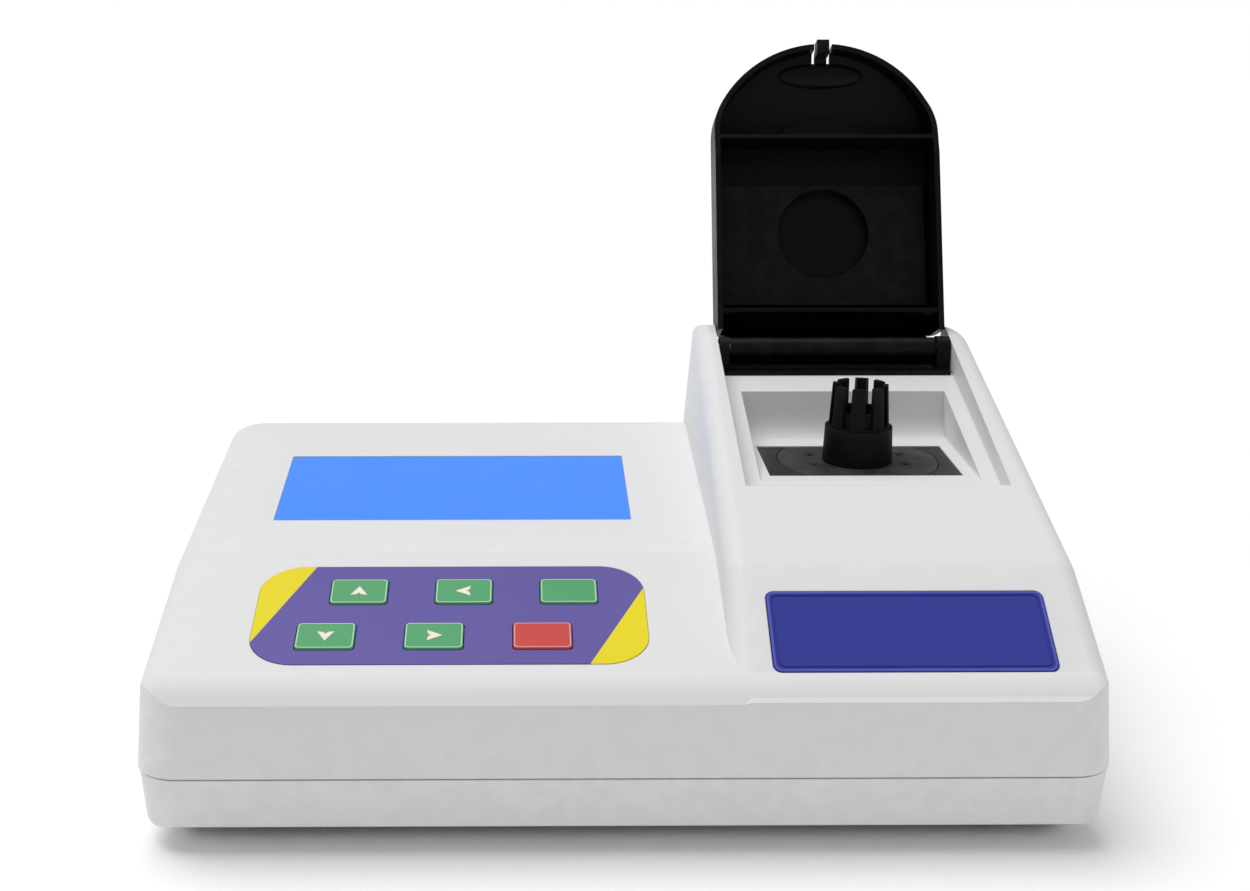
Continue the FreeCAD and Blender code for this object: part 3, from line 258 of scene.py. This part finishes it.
def keypad_print():
    """Printed membrane: purple field, yellow corners cut off by slanting lines, fine matt grain."""
    low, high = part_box("keypad_overlay")
    graph = Graph("keypad_print")
    dark, light = tones(srgb(98, 88, 160), 0.05)
    field = graph.mix(graph.remap(graph.noise(PRINT_SCALE), 0.3, 0.7, 0.0, 1.0), dark, light)
    dark, light = tones(srgb(232, 214, 28), 0.03)
    corner = graph.mix(graph.remap(graph.noise(PRINT_SCALE), 0.3, 0.7, 0.0, 1.0), dark, light)
    left = graph.side_of_line((low.x + LEFT_LINE_FOOT[0], low.y + LEFT_LINE_FOOT[1]),
                              (low.x + LEFT_LINE_HEAD[0], high.y - LEFT_LINE_HEAD[1]))
    right = graph.side_of_line((high.x - RIGHT_LINE_HEAD[0], low.y + RIGHT_LINE_HEAD[1]),
                               (high.x - RIGHT_LINE_FOOT[0], low.y + RIGHT_LINE_FOOT[1]))
    shade = graph.mix(left, field, corner)
    shade = graph.mix(right, shade, corner)
    graph.link(shade, graph.shader.inputs["Base Color"])
    fine = graph.noise(1100.0, 2.0)
    graph.link(graph.remap(fine, 0.3, 0.7, 0.38, 0.52), graph.shader.inputs["Roughness"])
    graph.shader.inputs["Specular IOR Level"].default_value = 0.15
    graph.bump(fine, 0.000012)
    return graph.material


def display_panel():
    """Backlit display behind a clear window: even blue glow with a faint grid of cells."""
    graph = Graph("display_panel")
    cells = graph.add("ShaderNodeTexBrick")
    graph.link(graph.place, cells.inputs["Vector"])
    cells.offset = 0.0
    cells.inputs["Scale"].default_value = 1.0
    cells.inputs["Brick Width"].default_value = CELL_PITCH
    cells.inputs["Row Height"].default_value = CELL_PITCH
    cells.inputs["Mortar Size"].default_value = CELL_GAP
    cells.inputs["Color1"].default_value = srgb(79, 148, 255)
    cells.inputs["Color2"].default_value = srgb(77, 146, 255)
    cells.inputs["Mortar"].default_value = srgb(73, 140, 250)
    graph.shader.inputs["Base Color"].default_value = srgb(16, 40, 120)
    graph.link(cells.outputs["Color"], graph.shader.inputs["Emission Color"])
    graph.shader.inputs["Emission Strength"].default_value = DISPLAY_GLOW
    graph.shader.inputs["Specular IOR Level"].default_value = 0.1
    smudge = graph.noise(60.0, 4.0)
    graph.link(graph.remap(smudge, 0.3, 0.7, 0.3, 0.42), graph.shader.inputs["Roughness"])
    graph.bump(smudge, 0.000004)
    return graph.material


def clear_glass(name, colour):
    """Clear or tinted glass with a trace of smudging."""
    graph = Graph(name)
    smudge = graph.noise(120.0, 4.0)
    graph.link(graph.mix(smudge, colour, tones(colour, 0.1)[0]), graph.shader.inputs["Base Color"])
    graph.link(graph.remap(smudge, 0.3, 0.7, 0.02, 0.1), graph.shader.inputs["Roughness"])
    graph.shader.inputs["Transmission Weight"].default_value = 0.85
    graph.bump(smudge, 0.000003)
    return graph.material


def circuit_board():
    """Green solder mask with the darker lines of copper runs beneath it."""
    graph = Graph("circuit_board")
    runs = graph.add("ShaderNodeTexBrick")
    graph.link(graph.place, runs.inputs["Vector"])
    runs.inputs["Scale"].default_value = 1.0
    runs.inputs["Brick Width"].default_value = RUN_LENGTH
    runs.inputs["Row Height"].default_value = RUN_PITCH
    runs.inputs["Mortar Size"].default_value = RUN_GAP
    runs.inputs["Color1"].default_value = srgb(20, 92, 48)
    runs.inputs["Color2"].default_value = srgb(24, 100, 52)
    runs.inputs["Mortar"].default_value = srgb(44, 130, 70)
    graph.link(runs.outputs["Color"], graph.shader.inputs["Base Color"])
    graph.link(graph.remap(graph.noise(90.0), 0.3, 0.7, 0.25, 0.45), graph.shader.inputs["Roughness"])
    graph.bump(runs.outputs["Fac"], 0.00003)
    return graph.material


def node_materials():
    """The finish of every CAD node."""
    casing = casing_plastic()
    lid = lid_plastic()
    black = socket_plastic()
    plate = anodised_plate()
    steel = surface("zinc_steel", srgb(188, 189, 192), 0.3, spread=0.08, metallic=1.0, edge=0.0002,
                    stretch=(1.0, 0.1, 1.0))
    brass = surface("brass", srgb(205, 172, 96), 0.28, spread=0.08, metallic=1.0, edge=0.0001)
    board = circuit_board()
    cream = surface("cream_plastic", srgb(226, 220, 198), 0.45, spread=0.04)
    green = surface("key_green", srgb(74, 160, 102), 0.4, spread=0.03, grain=1300.0,
                    specular=0.3, edge=0.0004)
    red = surface("key_red", srgb(200, 62, 54), 0.4, spread=0.03, grain=1300.0,
                  specular=0.3, edge=0.0004)
    label = surface("label_blue", srgb(56, 64, 150), 0.6, spread=0.03, grain=900.0, depth=0.000008,
                    specular=0.05, edge=0.0)
    glass = clear_glass("clear_glass", (0.92, 0.95, 0.96, 1.0))
    finishes = {
        casing: ("upper_shell", "lower_shell"),
        lid: ("sample_lid", "lid_inner_panel", "hinge_bracket"),
        black: ("holder_sleeve", "tube_adapter", "power_inlet", "switch_frame", "power_rocker", "fuse_holder",
                "filter_wheel", "main_chips"),
        plate: ("chamber_plate", "holder_disc", "disc_screws", "optical_block", "lamp_housing"),
        steel: ("case_screws", "display_bezel", "display_screws", "key_domes", "hinge_pin", "wheel_shaft",
                "wheel_motor", "photodiode", "board_screws", "panel_screws", "serial_port", "serial_posts"),
        brass: ("board_spacers", "inlet_pins", "serial_pins"),
        board: ("display_board", "keypad_board", "detector_board", "main_board"),
        cream: ("board_connectors", "keypad_tail", "display_ribbon"),
        green: ("key_up", "key_left", "key_enter", "key_down", "key_right"),
        red: ("key_stop",),
        label: ("front_label",),
        glass: ("display_glass", "lamp", "condenser_lens"),
        keypad_print(): ("keypad_overlay",),
        display_panel(): ("display_window",),
        clear_glass("filter_glass", (0.25, 0.75, 0.5, 1.0)): ("filters",),
        surface("foot_rubber", srgb(38, 38, 39), 0.75, spread=0.15, grain=900.0,
                depth=0.00006): ("rubber_feet",),
        surface("core_iron", srgb(92, 92, 96), 0.45, spread=0.15, metallic=0.8,
                stretch=(1.0, 1.0, 14.0)): ("transformer",),
        surface("coil_tape", srgb(214, 180, 60), 0.4, spread=0.08,
                stretch=(1.0, 6.0, 1.0)): ("transformer_coil",),
        surface("panel_metal", srgb(196, 197, 200), 0.34, spread=0.05, metallic=0.9,
                stretch=(0.06, 1.0, 1.0)): ("rear_panel",),
    }
    return {node: material for material, nodes in finishes.items() for node in nodes}


def dress_cad():
    for node, material in node_materials().items():
        mesh = NODES[node].data
        mesh.materials.clear()
        mesh.materials.append(material)


# ---------------------------------------------------------------- pieces on the casing's planes

class Plane:
    """A plane tipped about x: local x across, y up the slope, z out of the surface."""

    def __init__(self, origin, tilt):
        angle = math.radians(tilt)
        self.origin = origin
        self.along = Vector((0, math.cos(angle), math.sin(angle)))
        self.out = Vector((0, -math.sin(angle), math.cos(angle)))

    def at(self, x, y, z):
        return self.origin + Vector((x, 0, 0)) + self.along * y + self.out * z


def plane_of(node, low, high, tilt):
    """Plane of a flat node whose faces lie at local heights low and high."""
    corner_low, corner_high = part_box(node)
    plane = Plane((corner_low + corner_high) / 2, tilt)
    plane.origin = plane.origin - plane.out * ((low + high) / 2)
    return plane


def rounded_loop(width, length, radius, steps=6):
    """Points round a rectangle with rounded corners, centred on the origin."""
    points = []
    for quarter in range(4):
        centre_x = (width / 2 - radius) * (1 if quarter in (0, 3) else -1)
        centre_y = (length / 2 - radius) * (1 if quarter in (0, 1) else -1)
        for step in range(steps + 1):
            angle = math.radians(90 * (quarter + step / steps))
            points.append((centre_x + radius * math.cos(angle), centre_y + radius * math.sin(angle)))
    return points


def inset_loop(size, inset, radius):
    """Rounded rectangle that lies inside a plate of the given size."""
    return rounded_loop(size[0] - 2 * inset, size[1] - 2 * inset, radius)


def mesh_piece(name, vertices, faces, material, body, bevel=0.0):
    """Closed mesh with its material, riding on a body of the frame."""
    mesh = bpy.data.meshes.new(name)
    mesh.from_pydata(vertices, [], faces)
    work = bmesh.new()
    work.from_mesh(mesh)
    bmesh.ops.recalc_face_normals(work, faces=work.faces)
    work.to_mesh(mesh)
    work.free()
    piece = bpy.data.objects.new(name, mesh)
    bpy.context.scene.collection.objects.link(piece)
    mesh.materials.append(material)
    if bevel:
        rounding = piece.modifiers.new("bevel", "BEVEL")
        rounding.width = bevel
        rounding.segments = 3
        rounding.limit_method = "ANGLE"
    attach(piece, body)
    return piece


def ring_piece(name, plane, outer, inner, low, high, material, body, centre=(0.0, 0.0), bevel=0.0):
    """Raised border between two loops of the same number of points."""
    levels = ((outer, low), (outer, high), (inner, high), (inner, low))
    vertices = []
    for loop, height in levels:
        vertices += [plane.at(centre[0] + x, centre[1] + y, height) for x, y in loop]
    count = len(outer)
    faces = []
    for level in range(4):
        for i in range(count):
            j = (i + 1) % count
            here, there = level * count, ((level + 1) % 4) * count
            faces.append((here + i, here + j, there + j, there + i))
    return mesh_piece(name, vertices, faces, material, body, bevel)


def solid_piece(name, plane, loop, low, high, material, body, centre=(0.0, 0.0), bevel=0.0):
    """Flat plate with the given outline between two heights."""
    vertices = []
    for height in (low, high):
        vertices += [plane.at(centre[0] + x, centre[1] + y, height) for x, y in loop]
    count = len(loop)
    faces = [tuple(range(count)), tuple(range(count, 2 * count))]
    faces += [(i, (i + 1) % count, count + (i + 1) % count, count + i) for i in range(count)]
    return mesh_piece(name, vertices, faces, material, body, bevel)


def arrow_loop(turn):
    """Arrowhead's outline, turned by so many degrees from pointing up the slope."""
    outline = [(0.0, ARROW_TIP), (ARROW_HALF, ARROW_BASE), (NOTCH_HALF, NOTCH_SHOULDER), (0.0, NOTCH_TOP),
               (-NOTCH_HALF, NOTCH_SHOULDER), (-ARROW_HALF, ARROW_BASE)]
    angle = math.radians(turn)
    turned = []
    for x, y in outline:
        turned.append(((x * math.cos(angle) - y * math.sin(angle)) * MM,
                       (x * math.sin(angle) + y * math.cos(angle)) * MM))
    return turned


def keypad_details():
    pad = plane_of("keypad_overlay", OVERLAY_LOW, OVERLAY_HIGH, KEYPAD_TILT)
    cream = surface("arrow_cream", srgb(240, 226, 218), 0.5, spread=0.03)
    green_rim = surface("rim_green", srgb(168, 214, 178), 0.35, spread=0.03, coat=0.2)
    red_rim = surface("rim_red", srgb(226, 150, 158), 0.35, spread=0.03, coat=0.2)
    outer = inset_loop(KEY_SIZE, RIM_OUTSIDE, RIM_RADII[0])
    inner = inset_loop(KEY_SIZE, RIM_INSIDE, RIM_RADII[1])
    for key, row in KEY_ROWS.items():
        low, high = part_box(key)
        centre = ((low.x + high.x) / 2 - pad.origin.x, row)
        ring_piece(key + "_rim", pad, outer, inner, KEY_TOP - RIM_SINK, KEY_TOP + RIM_RISE,
                   red_rim if key == "key_stop" else green_rim, key, centre, 0.06 * MM)
        if key in ARROW_TURNS:
            solid_piece(key + "_arrow", pad, arrow_loop(ARROW_TURNS[key]), KEY_TOP - ARROW_SINK,
                        KEY_TOP + ARROW_RISE, cream, key, centre, 0.05 * MM)


def label_details():
    plane = plane_of("front_label", LABEL_LOW, LABEL_HIGH, LABEL_TILT)
    line = surface("label_rim", srgb(84, 88, 182), 0.5, spread=0.03, specular=0.15)
    outer = inset_loop(LABEL_SIZE, BORDER_OUTSIDE, BORDER_RADII[0])
    inner = inset_loop(LABEL_SIZE, BORDER_INSIDE, BORDER_RADII[1])
    ring_piece("label_border", plane, outer, inner, LABEL_HIGH - BORDER_SINK, LABEL_HIGH + BORDER_RISE,
               line, "casing", bevel=0.1 * MM)


# ---------------------------------------------------------------- studio

def studio_floor():
    half = FLOOR_HALF
    corners = [(-half, -half, 0), (half, -half, 0), (half, half, 0), (-half, half, 0)]
    mesh = bpy.data.meshes.new("studio_floor")
    mesh.from_pydata(corners, [], [(0, 1, 2, 3)])
    floor = bpy.data.objects.new("studio_floor", mesh)
    floor.location.z = cad_low.z
    bpy.context.scene.collection.objects.link(floor)
    paper = surface("floor_paper", srgb(253, 253, 253), 0.75, spread=0.002, grain=60.0, edge=0.0)
    mesh.materials.append(paper)


def sky():
    world = bpy.data.worlds.new("studio")
    world.use_nodes = True
    background = world.node_tree.nodes["Background"]
    background.inputs["Color"].default_value = (1.0, 1.0, 1.0, 1.0)
    background.inputs["Strength"].default_value = SKY_STRENGTH
    bpy.context.scene.world = world


def sun():
    light = bpy.data.lights.new("sun", "SUN")
    light.energy = SUN_ENERGY
    light.angle = math.radians(SUN_SPREAD)
    lamp = bpy.data.objects.new("sun", light)
    lamp.rotation_euler = (math.radians(SUN_TILT), 0, math.radians(SUN_TURN))
    bpy.context.scene.collection.objects.link(lamp)


def camera():
    """Studio camera, square to the front and looking down on the deck, from left of the middle."""
    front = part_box("upper_shell")[0].y
    data = bpy.data.cameras.new("camera")
    data.lens = CAMERA_LENS
    data.shift_x = CAMERA_SHIFT
    data.clip_end = CAMERA_REACH
    view = bpy.data.objects.new("camera", data)
    view.location = (CAMERA_RIGHT, front - CAMERA_BACK, CAMERA_HEIGHT)
    view.rotation_euler = (math.radians(CAMERA_PITCH), 0, math.radians(CAMERA_TURN))
    bpy.context.scene.collection.objects.link(view)
    bpy.context.scene.camera = view


bpy.context.scene.view_settings.view_transform = "Standard"
dress_cad()
keypad_details()
label_details()
studio_floor()
sky()
sun()
camera()
